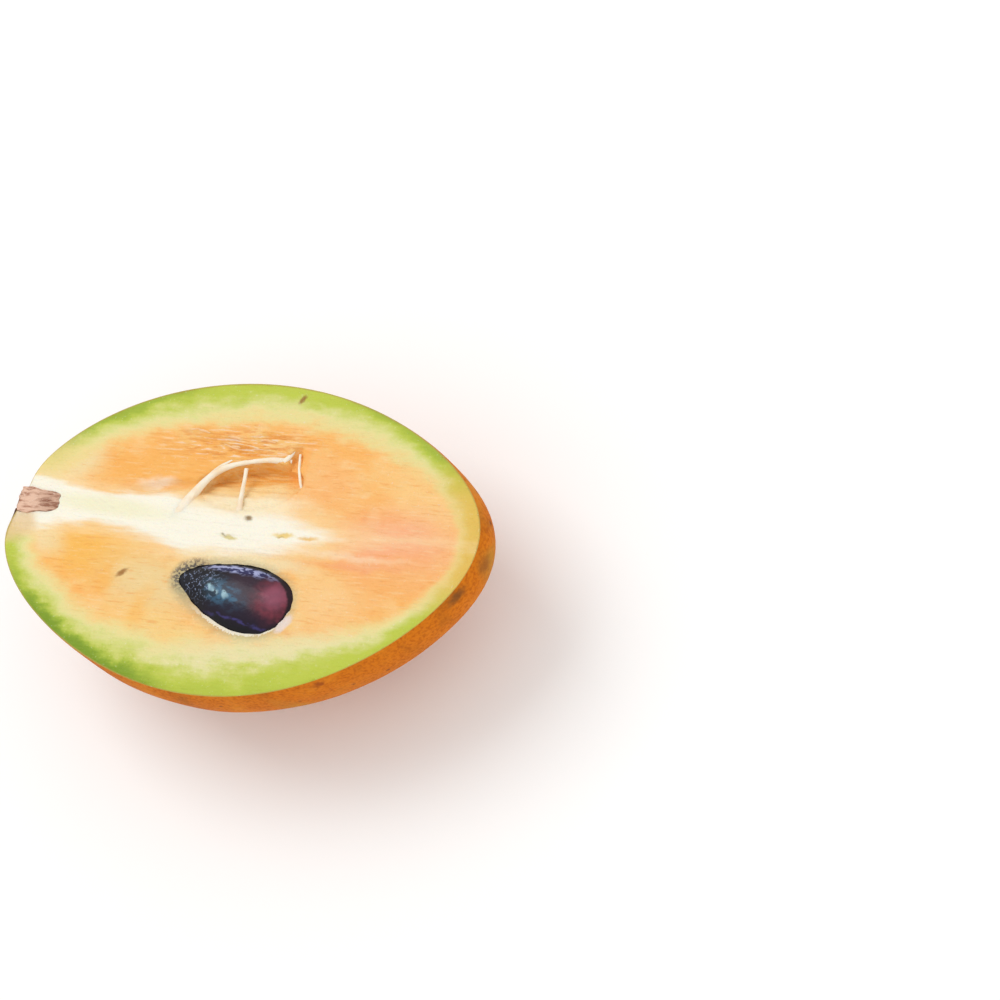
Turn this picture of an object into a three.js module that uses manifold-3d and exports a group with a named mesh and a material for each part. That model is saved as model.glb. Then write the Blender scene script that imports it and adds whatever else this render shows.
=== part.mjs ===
// Half of a sapodilla, cut from stalk to tip and lying on its back with the cut face up.
// Millimetres, +Z up. +X runs along the fruit from the stalk to the tip. The origin is the middle of the
// small flat spot that the fruit rests on.
import * as THREE from 'three';
import { mergeVertices } from 'three/addons/utils/BufferGeometryUtils.js';
import Module from 'manifold-3d';

const wasm = await Module();
wasm.setup();

// Driving dimensions of the fruit.
const LENGTH = 80; // stalk end to tip
const WIDTH = 51.6; // across the cut face
const DEPTH = 27; // from the cut face down to where the skin would end with no flat spot
const FLAT_DEPTH = 0.4; // height that the flat spot takes off
const TAPER = 0.13; // how much the fruit narrows towards its ends
const TAPER_LEAN = 0.03; // more so towards the tip than towards the stalk
const SHOULDER_LEAN = 0.1; // the shoulders of the stalk end aren't level
const TIP_BULGE = 3.4; // the knife passed above the fruit's middle, so the skin stands out below the cut
const SIDE_BULGE = 1.4;
const BULGE_FROM = 6; // depth under the cut that the bulge has grown by, and that it is gone again by
const BULGE_TO = 20;
const FACE_Z = DEPTH - FLAT_DEPTH;

// The stalk, which the knife has split, and the dimple that it stands in.
const STALK_Y = 3;
const STALK_RADIUS = 2.2;
const STALK_LENGTH = 7.4;
const STALK_END_X = -38.9;
const DIMPLE_DEPTH = 1.5;
const DIMPLE_RADIUS = 4.4;

// The dry calyx: the sepals that are left on this half, pressed on the shoulder below the cut.
const SEPAL_ANGLES = [-142, -94, -50]; // degrees round the stalk from +Y
const SEPAL_LENGTH = 5.4;
const SEPAL_HALF_WIDTH = 1.7;
const SEPAL_THICKNESS = 0.65;
const SEPAL_CURL = 0.6; // how far the tip stands off the skin

// The seed, bedded in its cell beside the core.
const SEED_LENGTH = 22;
const SEED_HALF_BREADTH = 5.6;
const SEED_SWELL = 1.9; // its blunt end is this much wider, and its narrow end this much slimmer
const SEED_BOW = 0.65; // its middle line lies this far towards the skin
const SEED_SLANT = 1.05; // more so at its narrow end
const SEED_HALF_THICKNESS = 3.1;
const SEED_AT = [2.6, -8.95];
const SEED_SINK = 1.1; // its middle lies this far under the cut face
const SEED_TURN = -19.5; // degrees, its blunt end towards the skin
const SEED_ROLL = 6; // degrees about its own length

const GAP = 0.3; // air between pieces that touch on the real fruit

const { sin, cos, abs, hypot, sqrt, exp, sign, PI, max, min } = Math;
const degrees = (angle) => (angle * PI) / 180;
const smooth = (from, to, value) => {
  const share = min(1, max(0, (value - from) / (to - from)));
  return share * share * (3 - 2 * share);
};

// A closed three.js geometry as a solid that can be joined and cut, and back again.
function solidOf(geometry) {
  const bare = geometry.clone();
  bare.deleteAttribute('normal');
  bare.deleteAttribute('uv');
  const merged = mergeVertices(bare, 1e-4);
  return new wasm.Manifold(
    new wasm.Mesh({
      numProp: 3,
      vertProperties: new Float32Array(merged.attributes.position.array),
      triVerts: new Uint32Array(merged.index.array),
    }),
  );
}

function geometryOf(solid) {
  const mesh = solid.getMesh();
  const shared = new THREE.BufferGeometry();
  shared.setAttribute('position', new THREE.BufferAttribute(mesh.vertProperties, 3));
  shared.setIndex(new THREE.BufferAttribute(mesh.triVerts, 1));
  const faceted = shared.toNonIndexed();
  faceted.computeVertexNormals();
  return faceted;
}

function reshape(geometry, place) {
  const position = geometry.attributes.position;
  const point = new THREE.Vector3();
  for (let i = 0; i < position.count; i++) {
    point.fromBufferAttribute(position, i);
    place(point);
    position.setXYZ(i, point.x, point.y, point.z);
  }
  return geometry;
}

// A sphere of radius 1 whose poles are on the X axis.
function ball(around, along) {
  return new THREE.SphereGeometry(1, around, along).rotateZ(-PI / 2);
}

// The egg form, as it was before the cut. A point of a unit ball goes to its place on the skin. Along is -1
// at the stalk and 1 at the tip.
const taper = (along) => 1 - (TAPER + TAPER_LEAN * along) * along * along;
const midline = (along) => (1.7 + 0.6 * along) * along * along;

function shoulder(x, y, z) {
  if (x >= 0) return 0;
  const away = hypot(y - STALK_Y, z - FACE_Z) / DIMPLE_RADIUS;
  return DIMPLE_DEPTH * exp(-away * away) + SHOULDER_LEAN * y * ((2 * x) / LENGTH) ** 4;
}

function onSkin(point) {
  const along = point.x;
  const side = point.y;
  const out = max(hypot(along, side), 1e-6);
  point.x = (along * LENGTH) / 2;
  point.y = midline(along) + (WIDTH / 2) * taper(along) * side;
  point.z = FACE_Z + DEPTH * taper(along) * point.z;
  const under = max(FACE_Z - point.z, 0);
  const bulge = (1 - exp(-under / BULGE_FROM)) * exp(-((under / BULGE_TO) ** 2));
  point.x += shoulder(point.x, point.y, point.z) + (TIP_BULGE * bulge * max(along, 0) ** 2) / out;
  point.y += (SIDE_BULGE * bulge * side * abs(side)) / out;
}

// Where the skin of the stalk end lies over a point (y, z), found by halving.
function stalkEndX(y, z) {
  let low = -1;
  let high = 0;
  for (let i = 0; i < 40; i++) {
    const along = (low + high) / 2;
    const across = (y - midline(along)) / ((WIDTH / 2) * taper(along));
    const down = (z - FACE_Z) / (DEPTH * taper(along));
    if (across * across + down * down > 1 - along * along) low = along;
    else high = along;
  }
  const x = (low * LENGTH) / 2;
  return x + shoulder(x, y, z);
}

// Relief of the cut face, as height over the plane of the knife.
// A patch is 1 inside an oval of half-lengths a and b turned by an angle, and falls to 0 at its edge.
function patch(x, y, { at, a, b, turn = 0, edge = 0.35 }) {
  const c = cos(degrees(turn));
  const s = sin(degrees(turn));
  const u = ((x - at[0]) * c + (y - at[1]) * s) / a;
  const v = ((y - at[1]) * c - (x - at[0]) * s) / b;
  return 1 - smooth(1 - edge, 1 + edge, hypot(u, v));
}

const EMPTY_CELL = { at: [0.7, 8.2], a: 9, b: 3.9, turn: 9, edge: 0.28 }; // the seed of this cell has gone
const CELL_CORNER = { at: [6.9, 12.6], a: 1.1, b: 3.4, turn: -6, edge: 0.4 };
const CELL_GROOVE = { at: [-13.4, 7.1], a: 5.4, b: 0.95, turn: 9, edge: 0.5 };
const SEED_MOUTH = { at: [SEED_AT[0], SEED_AT[1] - SEED_BOW], a: 11.6, b: 6.5, turn: SEED_TURN, edge: 0.3 };
const CORE_PITS = [
  [2, 2.9, 0.75],
  [-0.6, -0.5, 0.8],
  [8.3, 0.5, 0.9],
  [12.2, 0.5, 0.7],
];
const CORE_RISE = 0.45;
const MOUTH_RISE = 0.3;
const CELL_DEPTH = 2.4;
const GROOVE_DEPTH = 0.9;
const PIT_DEPTH = 0.8;

// The pale core: its middle line, and its half width from the stalk to where it fades.
const coreMiddle = (x) => 2.6 - 2 * smooth(-22, 0, x);
const coreHalfWidth = (x) => 2.5 + 1.3 * exp(-(((x - 2) / 13) ** 2));

function relief(x, y) {
  const fromCore = abs(y - coreMiddle(x)) / coreHalfWidth(x);
  const core = (1 - smooth(0.55, 1.15, fromCore)) * smooth(-34, -30, x) * (1 - smooth(16, 24, x));
  const cell = max(patch(x, y, EMPTY_CELL), patch(x, y, CELL_CORNER));
  const groove = patch(x, y, CELL_GROOVE);
  const mouth = patch(x, y, SEED_MOUTH);
  const pits = CORE_PITS.map(([px, py, r]) => patch(x, y, { at: [px, py], a: r, b: r, edge: 0.6 }));
  const wave = 0.12 * sin(x / 4.1 + 0.6) * cos(y / 3.3) + 0.08 * sin((x + 2 * y) / 2.9);
  const raised = CORE_RISE * core + MOUTH_RISE * mouth + wave;
  return raised - CELL_DEPTH * cell - GROOVE_DEPTH * groove - PIT_DEPTH * max(...pits);
}

// What the knife took away: a slab whose underside carries the relief of the cut face.
function knifeCut() {
  const height = 40;
  const step = 1.7;
  const long = LENGTH + 12;
  const wide = WIDTH + 8;
  const [rows, columns] = [long, wide].map((side) => Math.round(side / step));
  const slab = new THREE.BoxGeometry(long, wide, height, rows, columns, 1);
  reshape(slab, (p) => {
    p.z = p.z > 0 ? FACE_Z + height : FACE_Z + relief(p.x, p.y);
  });
  return solidOf(slab);
}

// A strand of the core, torn loose over the empty cell: a round string along a smooth curve.
function strand({ points, radius }) {
  const path = new THREE.CatmullRomCurve3(points.map(([x, y, z]) => new THREE.Vector3(x, y, FACE_Z + z)));
  const section = new THREE.Shape().absarc(0, 0, radius, 0, 2 * PI, false);
  return solidOf(
    new THREE.ExtrudeGeometry(section, {
      extrudePath: path,
      steps: 5 * (points.length - 1),
      curveSegments: 4,
      bevelEnabled: false,
    }),
  );
}

const STRANDS = [
  {
    radius: 0.46,
    points: [
      [-9.6, 3.6, -0.7],
      [-8.9, 5.4, 0.1],
      [-7.6, 8, 0],
      [-5.7, 10.4, -0.1],
      [-2.2, 12, -0.15],
      [1.2, 12.7, -0.25],
      [4.6, 13.2, -0.9],
    ],
  },
  {
    radius: 0.36,
    points: [
      [-0.5, 2.8, -0.8],
      [-0.5, 4.4, 0.1],
      [-0.6, 7.5, 0],
      [-0.8, 10.4, -0.2],
      [-0.9, 12.2, -0.9],
    ],
  },
  {
    radius: 0.32,
    points: [
      [7.9, 9, -1.7],
      [7.6, 10.6, -0.4],
      [7, 13, -0.1],
      [6.7, 15.4, -0.2],
      [6.6, 17, -1],
    ],
  },
];

// The seed: flat, blunt at one end and narrow at the other, bellied on the side of the skin, with a keel
// round its edge.
function seed(grow) {
  const shape = reshape(ball(32, 22), (p) => {
    const along = p.x;
    const halfBreadth = SEED_HALF_BREADTH + SEED_SWELL * along;
    const middle = SEED_SLANT * along - SEED_BOW;
    const keel = 1 - 0.16 * abs(p.y) ** 2.5;
    const halfThickness = keel * SEED_HALF_THICKNESS * (1 + 0.1 * along);
    p.x = along * (SEED_LENGTH / 2 + grow);
    p.y = middle + p.y * (halfBreadth + grow);
    p.z = p.z * (halfThickness + grow);
  });
  shape.rotateX(degrees(SEED_ROLL));
  shape.rotateZ(degrees(SEED_TURN));
  shape.translate(SEED_AT[0], SEED_AT[1], FACE_Z - SEED_SINK);
  return solidOf(shape);
}

// The stalk in the round, from its dry outer end to where its fibres run out in the flesh.
function stalk(grow) {
  const profile = [
    [0, 0],
    [0.86, 0],
    [1, 0.06],
    [0.98, 0.3],
    [0.86, 0.55],
    [0.88, 0.75],
    [0.76, 0.9],
    [0.4, 0.98],
    [0, 1],
  ].map(([across, along]) => {
    const radius = across === 0 ? 0 : across * STALK_RADIUS + grow;
    return new THREE.Vector2(radius, along * STALK_LENGTH + grow * sign(along - 0.5));
  });
  const turned = new THREE.LatheGeometry(profile, 20).rotateZ(-PI / 2);
  turned.translate(STALK_END_X, STALK_Y, FACE_Z);
  return solidOf(turned);
}

// One sepal: a blade that follows the skin outwards from the stalk and lifts at its tip.
function sepal(angle) {
  const blade = new THREE.BoxGeometry(1, 1, 1, 9, 4, 1);
  const rootRadius = STALK_RADIUS * 0.6;
  const c = cos(degrees(angle));
  const s = sin(degrees(angle));
  reshape(blade, (p) => {
    const along = p.x + 0.5;
    const outwards = rootRadius + along * SEPAL_LENGTH;
    const narrowing = sqrt(1 - along ** 2.4) * (0.62 + 0.5 * along);
    const sideways = 2 * p.y * SEPAL_HALF_WIDTH * (0.16 + 0.84 * narrowing);
    const y = STALK_Y + outwards * c - sideways * s;
    const z = FACE_Z + outwards * s + sideways * c;
    const cupped = 0.3 * (1 - 4 * p.y * p.y) * along;
    const lift = GAP + 0.12 + SEPAL_CURL * along ** 3 + cupped;
    p.set(stalkEndX(y, z) - lift - (0.5 - p.z) * SEPAL_THICKNESS, y, z);
  });
  return solidOf(blade);
}

const join = (solids) => solids.reduce((body, one) => body.add(one));

// What is under the surface that the fruit stands on.
function ground() {
  const size = 2 * LENGTH;
  return solidOf(new THREE.BoxGeometry(size, size, size).translate(0, 0, -size / 2));
}

function fruitHalf(knife) {
  const whole = solidOf(reshape(ball(60, 44), onSkin));
  const half = whole.subtract(knife).subtract(ground());
  const torn = join([half, ...STRANDS.map(strand)]);
  return torn.subtract(seed(GAP)).subtract(stalk(GAP));
}

function stemAndCalyx(knife) {
  return join([stalk(0), ...SEPAL_ANGLES.map(sepal)]).subtract(knife);
}

const flesh = new THREE.MeshStandardMaterial({ color: 0xf6c27a, roughness: 0.45, metalness: 0 });
const seedCoat = new THREE.MeshStandardMaterial({ color: 0x1d1a26, roughness: 0.15, metalness: 0 });
const dryBark = new THREE.MeshStandardMaterial({ color: 0x8a5a40, roughness: 0.85, metalness: 0 });

function piece(name, solid, material) {
  const mesh = new THREE.Mesh(geometryOf(solid), material);
  mesh.name = name;
  return mesh;
}

const knife = knifeCut();
const sapodillaHalf = new THREE.Group();
sapodillaHalf.add(
  piece('fruit_half', fruitHalf(knife), flesh),
  piece('seed', seed(0), seedCoat),
  piece('stem_and_calyx', stemAndCalyx(knife), dryBark),
);

export default sapodillaHalf;
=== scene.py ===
# %% [markdown]
# # Half a sapodilla on white paper
#
# A sapodilla is an egg-shaped fruit with a thin, dull skin. This one is cut from stalk to tip and lies
# on its back. Its level cut face shows green under the skin, orange flesh, a cream core that runs
# from the stalk, a cell that has lost its seed and a second cell with its glossy dark seed still in it.
#
# The lesson makes three pieces: the fruit half in one, the loose seed, and the dry stalk with its sepals.

import math

import bpy
import numpy as np
from mathutils import Matrix, Vector, noise


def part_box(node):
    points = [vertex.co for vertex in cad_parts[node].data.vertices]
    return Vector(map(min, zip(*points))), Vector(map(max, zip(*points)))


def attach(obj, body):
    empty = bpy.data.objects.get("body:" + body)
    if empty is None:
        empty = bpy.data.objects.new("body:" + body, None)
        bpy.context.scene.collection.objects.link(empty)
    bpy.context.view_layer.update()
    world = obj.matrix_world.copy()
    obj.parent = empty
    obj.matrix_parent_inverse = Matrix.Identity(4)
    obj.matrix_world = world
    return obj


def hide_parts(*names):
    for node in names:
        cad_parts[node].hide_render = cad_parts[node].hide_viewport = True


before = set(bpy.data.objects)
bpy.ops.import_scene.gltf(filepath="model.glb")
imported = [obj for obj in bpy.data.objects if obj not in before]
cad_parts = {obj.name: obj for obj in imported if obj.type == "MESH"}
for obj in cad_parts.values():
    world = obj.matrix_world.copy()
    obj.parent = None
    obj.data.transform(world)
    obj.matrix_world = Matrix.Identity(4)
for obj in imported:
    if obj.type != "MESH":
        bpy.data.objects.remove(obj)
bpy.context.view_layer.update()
bpy.ops.object.select_all(action="DESELECT")
print("pieces of the measured model:", sorted(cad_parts))

# %% [markdown]
# ## Sizes
#
# Blender works in metres and fruit is easier to think of in millimetres, so the sizes below are written
# in millimetres and `MM` turns them into metres at the last moment. The first few drive all the others.

# %% Driving sizes
MM = 0.001
LENGTH = 80.0
WIDTH = 51.6
DEPTH = 27.0
FLAT_DEPTH = 0.4
TAPER = 0.13
TAPER_LEAN = 0.03
SHOULDER_LEAN = 0.1
TIP_BULGE = 3.4
SIDE_BULGE = 1.4
BULGE_FROM = 6.0
BULGE_TO = 20.0
FACE_Z = DEPTH - FLAT_DEPTH

STALK_Y = 3.0
STALK_RADIUS = 2.2
STALK_LENGTH = 7.4
STALK_END_X = -38.9
DIMPLE_DEPTH = 1.5
DIMPLE_RADIUS = 4.4

SEED_LENGTH = 22.0
SEED_HALF_BREADTH = 5.6
SEED_SWELL = 1.9
SEED_BOW = 0.65
SEED_SLANT = 1.05
SEED_HALF_THICKNESS = 3.1
SEED_AT = (2.6, -8.95)
SEED_SINK = 1.1
SEED_TURN = math.radians(-19.5)
SEED_ROLL = math.radians(6)

fruit_low, fruit_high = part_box("fruit_half")
print("fruit in the model:", [round(float(b - a) / MM, 1) for a, b in zip(fruit_low, fruit_high)], "mm")

# %% [markdown]
# ## Camera
#
# The fruit is seen from its front right, steeply from above, through a long lens that keeps its egg shape
# true. The camera is rolled about its own line of sight, because the half was propped at a slant when it
# was photographed and here it lies level. A real photographer turns the tripod head for the same reason.
#
# The middle of the cut face is kept to the left of and below the middle of the picture by moving the
# camera sideways, not by shifting the lens.

# %% Camera
AZIMUTH = math.radians(47)
ELEVATION = math.radians(60)
ROLL = math.radians(-38)
LENS = 100.0
SENSOR = 36.0
PICTURE = 1000
MM_PER_PIXEL = 86 / 563
FACE_CENTRE_PIXEL = (241, 541)
FACE_CENTRE = Vector((1.45, -0.6, FACE_Z)) * MM

focal_pixels = LENS / SENSOR * PICTURE
distance = focal_pixels * MM_PER_PIXEL * MM
towards_camera = Vector((
    math.sin(AZIMUTH) * math.cos(ELEVATION),
    -math.cos(AZIMUTH) * math.cos(ELEVATION),
    math.sin(ELEVATION),
))
level_right = Vector((0, 0, 1)).cross(towards_camera).normalized()
level_up = towards_camera.cross(level_right)
camera_right = math.cos(ROLL) * level_right + math.sin(ROLL) * level_up
camera_up = math.cos(ROLL) * level_up - math.sin(ROLL) * level_right
aside = (FACE_CENTRE_PIXEL[0] - PICTURE / 2) / focal_pixels * distance
above = (PICTURE / 2 - FACE_CENTRE_PIXEL[1]) / focal_pixels * distance
camera_at = FACE_CENTRE + towards_camera * distance - camera_right * aside - camera_up * above

bpy.ops.object.camera_add(location=camera_at)
camera = bpy.context.object
camera.name = "camera"
camera.rotation_euler = Matrix((camera_right, camera_up, towards_camera)).transposed().to_euler()
camera.data.lens = LENS
camera.data.sensor_width = SENSOR
camera.data.clip_start = 0.01
bpy.context.scene.camera = camera
print("camera is", round(distance * 1000), "mm from the fruit")

# %% [markdown]
# ## Small helpers
#
# A piece is finished once its modifiers are applied and its object sits at the origin, unturned and
# unscaled. Moving many points by a formula is quickest with numpy: the points come out as one array, are
# changed, and go back in.


# %% Helpers for meshes
def pick(*pieces):
    """Selects these pieces alone and makes the first of them the active one."""
    bpy.ops.object.select_all(action="DESELECT")
    for piece in pieces:
        piece.select_set(True)
    bpy.context.view_layer.objects.active = pieces[0]


def points_of(piece):
    flat = np.empty(len(piece.data.vertices) * 3)
    piece.data.vertices.foreach_get("co", flat)
    return flat.reshape(-1, 3)


def move_points(piece, points):
    piece.data.vertices.foreach_set("co", np.ascontiguousarray(points, dtype=np.float32).ravel())
    piece.data.update()


def apply_modifiers(piece):
    pick(piece)
    for modifier in list(piece.modifiers):
        bpy.ops.object.modifier_apply(modifier=modifier.name)


def settle(piece):
    """Gives the piece's place, turn and size to its mesh, so that its object sits at the origin."""
    pick(piece)
    bpy.ops.object.transform_apply(location=True, rotation=True, scale=True)


def smooth(low, high, value):
    share = np.clip((value - low) / (high - low), 0, 1)
    return share * share * (3 - 2 * share)


def grain(points, stretch, seed=0.0):
    """Perlin noise from -1 to 1 at each point, with grains of the given length along x, y and z."""
    scaled = points / np.array(stretch) + seed
    return np.array([noise.noise(Vector(p)) for p in scaled])


# %% [markdown]
# ## The egg form
#
# All points of the fruit start as points of a ball of radius 1. `along` is how far a point lies from the
# middle, -1 at the stalk and 1 at the tip. Each slice across the fruit is an ellipse. `taper` narrows the
# slices towards both ends, `midline` bends the fruit a little to one side, and `shoulder` dents the stalk
# end. The knife passed a little above the middle of the fruit, so below the cut the skin still bulges
# outwards.


# %% Egg form
def taper(along):
    return 1 - (TAPER + TAPER_LEAN * along) * along * along


def midline(along):
    return (1.7 + 0.6 * along) * along * along


def shoulder(x, y, z):
    away = np.hypot(y - STALK_Y, z - FACE_Z) / DIMPLE_RADIUS
    dimple = DIMPLE_DEPTH * np.exp(-away * away) * smooth(-20, -32, x)
    return dimple + SHOULDER_LEAN * y * (2 * np.minimum(x, 0) / LENGTH) ** 4


def on_fruit(ball):
    """Turns points of a unit ball into places on the fruit, in millimetres. Level ones lie on the cut."""
    along, side, up = ball.T
    out = np.maximum(np.hypot(along, side), 1e-6)
    x = along * LENGTH / 2
    y = midline(along) + WIDTH / 2 * taper(along) * side
    z = FACE_Z + DEPTH * taper(along) * up
    under = np.maximum(FACE_Z - z, 0)
    bulge = (1 - np.exp(-under / BULGE_FROM)) * np.exp(-((under / BULGE_TO) ** 2))
    x = x + shoulder(x, y, z) + TIP_BULGE * bulge * np.maximum(along, 0) ** 2 / out
    return np.column_stack((x, y + SIDE_BULGE * bulge * side * np.abs(side) / out, z))


def from_rim(x, y):
    """How far a point of the cut face is from the skin, in millimetres."""
    along = np.clip((x - shoulder(x, y, FACE_Z)) / (LENGTH / 2), -1, 1)
    half_width = WIDTH / 2 * taper(along)
    across = (y - midline(along)) / half_width
    out = np.maximum(np.hypot(along, across), 1e-3)
    slope = np.hypot(along / (LENGTH / 2), across / half_width) / out
    return (1 - out) / slope


# %% [markdown]
# ## Relief of the cut face
#
# A ripe sapodilla isn't sliced like wax. The core stands a little proud, the empty cell is a torn hollow
# that is deepest under its upper lip, and the flesh swells where it hugs the seed. Most of these are soft
# oval patches. The core lies between two edge lines. The whole relief is one sum of them and a little
# noise.


# %% Relief
def patch(x, y, at, a, b, turn=0.0, edge=0.35):
    """1 inside an oval of half-lengths a and b, falling to 0 across its edge."""
    c, s = math.cos(math.radians(turn)), math.sin(math.radians(turn))
    u = ((x - at[0]) * c + (y - at[1]) * s) / a
    v = ((y - at[1]) * c - (x - at[0]) * s) / b
    return 1 - smooth(1 - edge, 1 + edge, np.hypot(u, v))


EMPTY_CELL = {"at": (0.4, 8.4), "a": 8.6, "b": 3.9, "turn": 9}
CELL_CORNER = {"at": (6.9, 12.6), "a": 1.0, "b": 2.8, "turn": -6}
CELL_GROOVE = {"at": (-13.4, 7.3), "a": 5.0, "b": 0.8, "turn": 9}
TORN_FLESH = {"at": (-2.5, 15.4), "a": 11.5, "b": 2.5, "turn": 3}
CORE_PITS = ((2.0, 2.9, 0.6), (-0.6, -0.5, 0.7), (8.3, 0.5, 0.75), (12.2, 0.5, 0.6))
CORE_RISE = 0.4
CELL_DEPTH = 2.9
CORNER_DEPTH = 1.2
GROOVE_DEPTH = 0.7
PIT_DEPTH = 0.25

CORE_UPPER_EDGE = (
    (-34, 6.9), (-31, 6.2), (-26, 5.4), (-21, 5.2), (-13, 6.1), (-9, 5.0), (0, 4.3), (8, 4.6), (30, 5.0),
)
CORE_LOWER_EDGE = (
    (-34, -1.2), (-31, -0.6), (-25, 0.3), (-18, -0.5), (-12, -2.0), (-7, -3.1), (8, -3.0), (30, -1.4),
)


def inside_core(x, y):
    """How deep a point lies in the core, in millimetres. It is less than 0 outside."""
    upper = np.interp(x, *zip(*CORE_UPPER_EDGE))
    lower = np.interp(x, *zip(*CORE_LOWER_EDGE))
    return np.minimum(upper - y, y - lower)


def beside_seed(x, y):
    """How far a point of the cut face is from where the flesh closes round the seed, in millimetres."""
    c, s = math.cos(SEED_TURN), math.sin(SEED_TURN)
    along = ((x - SEED_AT[0]) * c + (y - SEED_AT[1]) * s) / (SEED_LENGTH / 2)
    inside = np.clip(along, -1, 1)
    half_breadth = SEED_HALF_BREADTH + SEED_SWELL * inside
    across = (y - SEED_AT[1]) * c - (x - SEED_AT[0]) * s + SEED_BOW - SEED_SLANT * inside
    across = across / half_breadth
    out = np.maximum(np.hypot(along, across), 1e-3)
    slope = np.hypot(along / (SEED_LENGTH / 2), across / half_breadth) / out
    return (out - 0.9) / slope


def cell_share(x, y, ragged):
    return smooth(0.15, 0.85, patch(x, y, edge=0.2, **EMPTY_CELL) + ragged)


def under_lip(x, y):
    """1 on the side of the empty cell that lies under its upper lip, 0 on the side of the core."""
    return smooth(6.0, 12.0, y - 0.16 * x)


def relief(points):
    x, y = points[:, 0], points[:, 1]
    fine = grain(points, (3.2, 0.7, 5))
    fibres = grain(points, (5.0, 0.5, 5), seed=21)
    coarse = grain(points, (7, 5, 5), seed=11)

    core = smooth(-1.1, 1.5, inside_core(x, y) + 0.3 * coarse)
    core = core * smooth(-34, -30, x) * (1 - smooth(12, 26, x))
    cell = cell_share(x, y, 0.07 * fine + 0.08 * coarse)
    corner = patch(x, y, edge=0.35, **CELL_CORNER)
    groove = patch(x, y, edge=0.5, **CELL_GROOVE)
    torn = patch(x, y, edge=0.45, **TORN_FLESH)
    pits = np.max([patch(x, y, (px, py), r * 1.3, r * 0.8, edge=0.6) for px, py, r in CORE_PITS], axis=0)

    lip = np.exp(-(((np.maximum(beside_seed(x, y), 0) - 0.9) / 1.1) ** 2)) * (0.34 + 0.16 * coarse)

    wave = 0.12 * np.sin(x / 4.1 + 0.6) * np.cos(y / 3.3) + 0.08 * np.sin((x + 2 * y) / 2.9)
    hollow = np.maximum(CELL_DEPTH * cell * (0.16 + 0.84 * under_lip(x, y)), CORNER_DEPTH * corner)
    torn_relief = torn * (0.5 * fibres + 0.2 * fine - 0.2)
    raised = CORE_RISE * core + lip + wave + torn_relief + 0.05 * fine + 0.05 * fibres
    rounded_edge = 0.22 * np.exp(-from_rim(x, y) / 0.35)
    cell_relief = cell * (0.2 * fine + 0.25 * fibres)
    return raised - hollow - GROOVE_DEPTH * groove - PIT_DEPTH * pits + cell_relief - rounded_edge


# %% [markdown]
# ## The fruit half
#
# One ball gives the whole half. Its lower hemisphere takes the egg form and becomes the skin. Its upper
# hemisphere is pressed down to the plane of the knife, with its rings spread evenly, and becomes the cut
# face, so skin and flesh share the ring of points at the rim and no seam can open. A ball has its points
# in rings, which lie along the rim just as a growing fruit's layers do.

# %% Fruit half: form
RINGS = 200
SEGMENTS = 340

bpy.ops.mesh.primitive_uv_sphere_add(segments=SEGMENTS, ring_count=RINGS, radius=1)
fruit_half = bpy.context.object
fruit_half.name = "sapodilla_half"

ball = points_of(fruit_half)
upper = ball[:, 2] > 1e-4
from_pole = np.arccos(np.clip(ball[upper, 2], -1, 1)) / (math.pi / 2)
turn = np.arctan2(ball[upper, 1], ball[upper, 0])
ball[upper, 0] = from_pole * np.cos(turn)
ball[upper, 1] = from_pole * np.sin(turn)
ball[upper, 2] = 0

places = on_fruit(ball)
places[upper, 2] += relief(places[upper])
lumps = 0.22 * grain(places[~upper], (13, 9, 9), seed=3)
below = smooth(0, 3, FACE_Z - places[~upper, 2])
places[~upper, 1] += lumps * below * np.sign(ball[~upper, 1])
places[~upper, 2] = np.maximum(places[~upper, 2], 0)
move_points(fruit_half, places * MM)

print("fruit half:", len(fruit_half.data.polygons), "faces,", int(upper.sum()), "points on the cut face")


# %% [markdown]
# ## The seed
#
# A sapodilla seed is flat and hard, blunt at one end and narrow at the other. The side towards the core
# is nearly straight and the other side bellies out. It is turned from a ball whose poles lie at its two
# ends. The same form, made a hair larger and rougher, then presses its bed into the flesh.


# %% Seed: form
def seed_form(name, grow, rough, segments, rings):
    bpy.ops.mesh.primitive_uv_sphere_add(
        segments=segments, ring_count=rings, radius=1, rotation=(0, math.radians(90), 0)
    )
    form = bpy.context.object
    form.name = name
    settle(form)
    ball = points_of(form)
    along, side, up = ball.T
    half_breadth = SEED_HALF_BREADTH + SEED_SWELL * along
    keel = 1 - 0.16 * np.abs(side) ** 2.5
    half_thickness = keel * SEED_HALF_THICKNESS * (1 + 0.1 * along)
    places = np.column_stack((
        along * (SEED_LENGTH / 2 + grow),
        SEED_SLANT * along - SEED_BOW + side * (half_breadth + grow),
        up * (half_thickness + grow),
    ))
    uneven = rough * grain(places, (1.6, 1.1, 1.4), seed=7) + 0.07 * grain(places, (5, 4, 4), seed=2)
    places += ball * uneven[:, None]
    roll = Matrix.Rotation(SEED_ROLL, 3, "X")
    turn = Matrix.Rotation(SEED_TURN, 3, "Z")
    places = places @ np.array(turn @ roll).T
    places += np.array((SEED_AT[0], SEED_AT[1], FACE_Z - SEED_SINK))
    move_points(form, places * MM)
    return form


seed = seed_form("sapodilla_seed", 0.0, 0.02, 144, 96)
print("seed:", len(seed.data.polygons), "faces")

# %% [markdown]
# ## The stalk and its sepals
#
# The knife has split the woody stalk, so it shows as a corky stub that narrows into the core. It is
# turned from a ball, like the seed, with blunt ends, the inner one ragged, and bisect cuts it almost
# level with the flesh.

# %% Stalk: form
INNER_END_RAGGED = 0.3
CUT_ABOVE_FLESH = 0.12
STUB_PROFILE = ((0.0, 0.92), (0.28, 1.0), (0.5, 0.84), (0.75, 0.8), (0.9, 0.7), (1.0, 0.56))


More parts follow.
